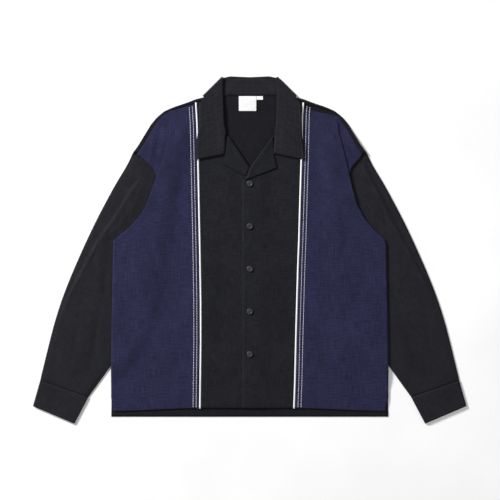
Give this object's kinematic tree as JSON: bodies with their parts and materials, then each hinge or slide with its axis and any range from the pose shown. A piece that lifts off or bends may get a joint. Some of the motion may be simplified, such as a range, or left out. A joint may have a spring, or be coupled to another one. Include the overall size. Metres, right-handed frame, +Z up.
{
  "type": "shirt jacket",
  "caption": "Long-sleeved shirt jacket lying flat, with a notched camp collar, piped front seams, button front and plain cuffs.",
  "frame": {"origin": "middle of the garment's footprint, on the surface it lies on", "axes": "+X across the chest to the wearer's left sleeve, +Y from hem to collar, +Z up out of the front"},
  "size_m": [0.953, 0.7634, 0.0095],
  "materials": {
    "black_cloth": "matte slubby plain weave",
    "navy_cloth": "matte slubby plain weave",
    "white_trim": "white woven tape",
    "button": "satin dark grey"
  },
  "bodies": {
    "root": {"back": "black_cloth", "collar": "black_cloth", "front_side_left": "navy_cloth", "front_side_right": "navy_cloth", "front_centre_left": "black_cloth", "front_centre_right": "black_cloth", "piping_left": "white_trim", "piping_right": "white_trim", "lapel_left": "black_cloth", "lapel_right": "black_cloth", "sleeve_left": "black_cloth", "sleeve_right": "black_cloth", "cuff_left": "black_cloth", "cuff_right": "black_cloth", "button_1": "button", "button_2": "button", "button_3": "button", "button_4": "button", "button_5": "button", "neck_label": "white_trim", "size_tab": "white_trim"}
  },
  "joints": []
}
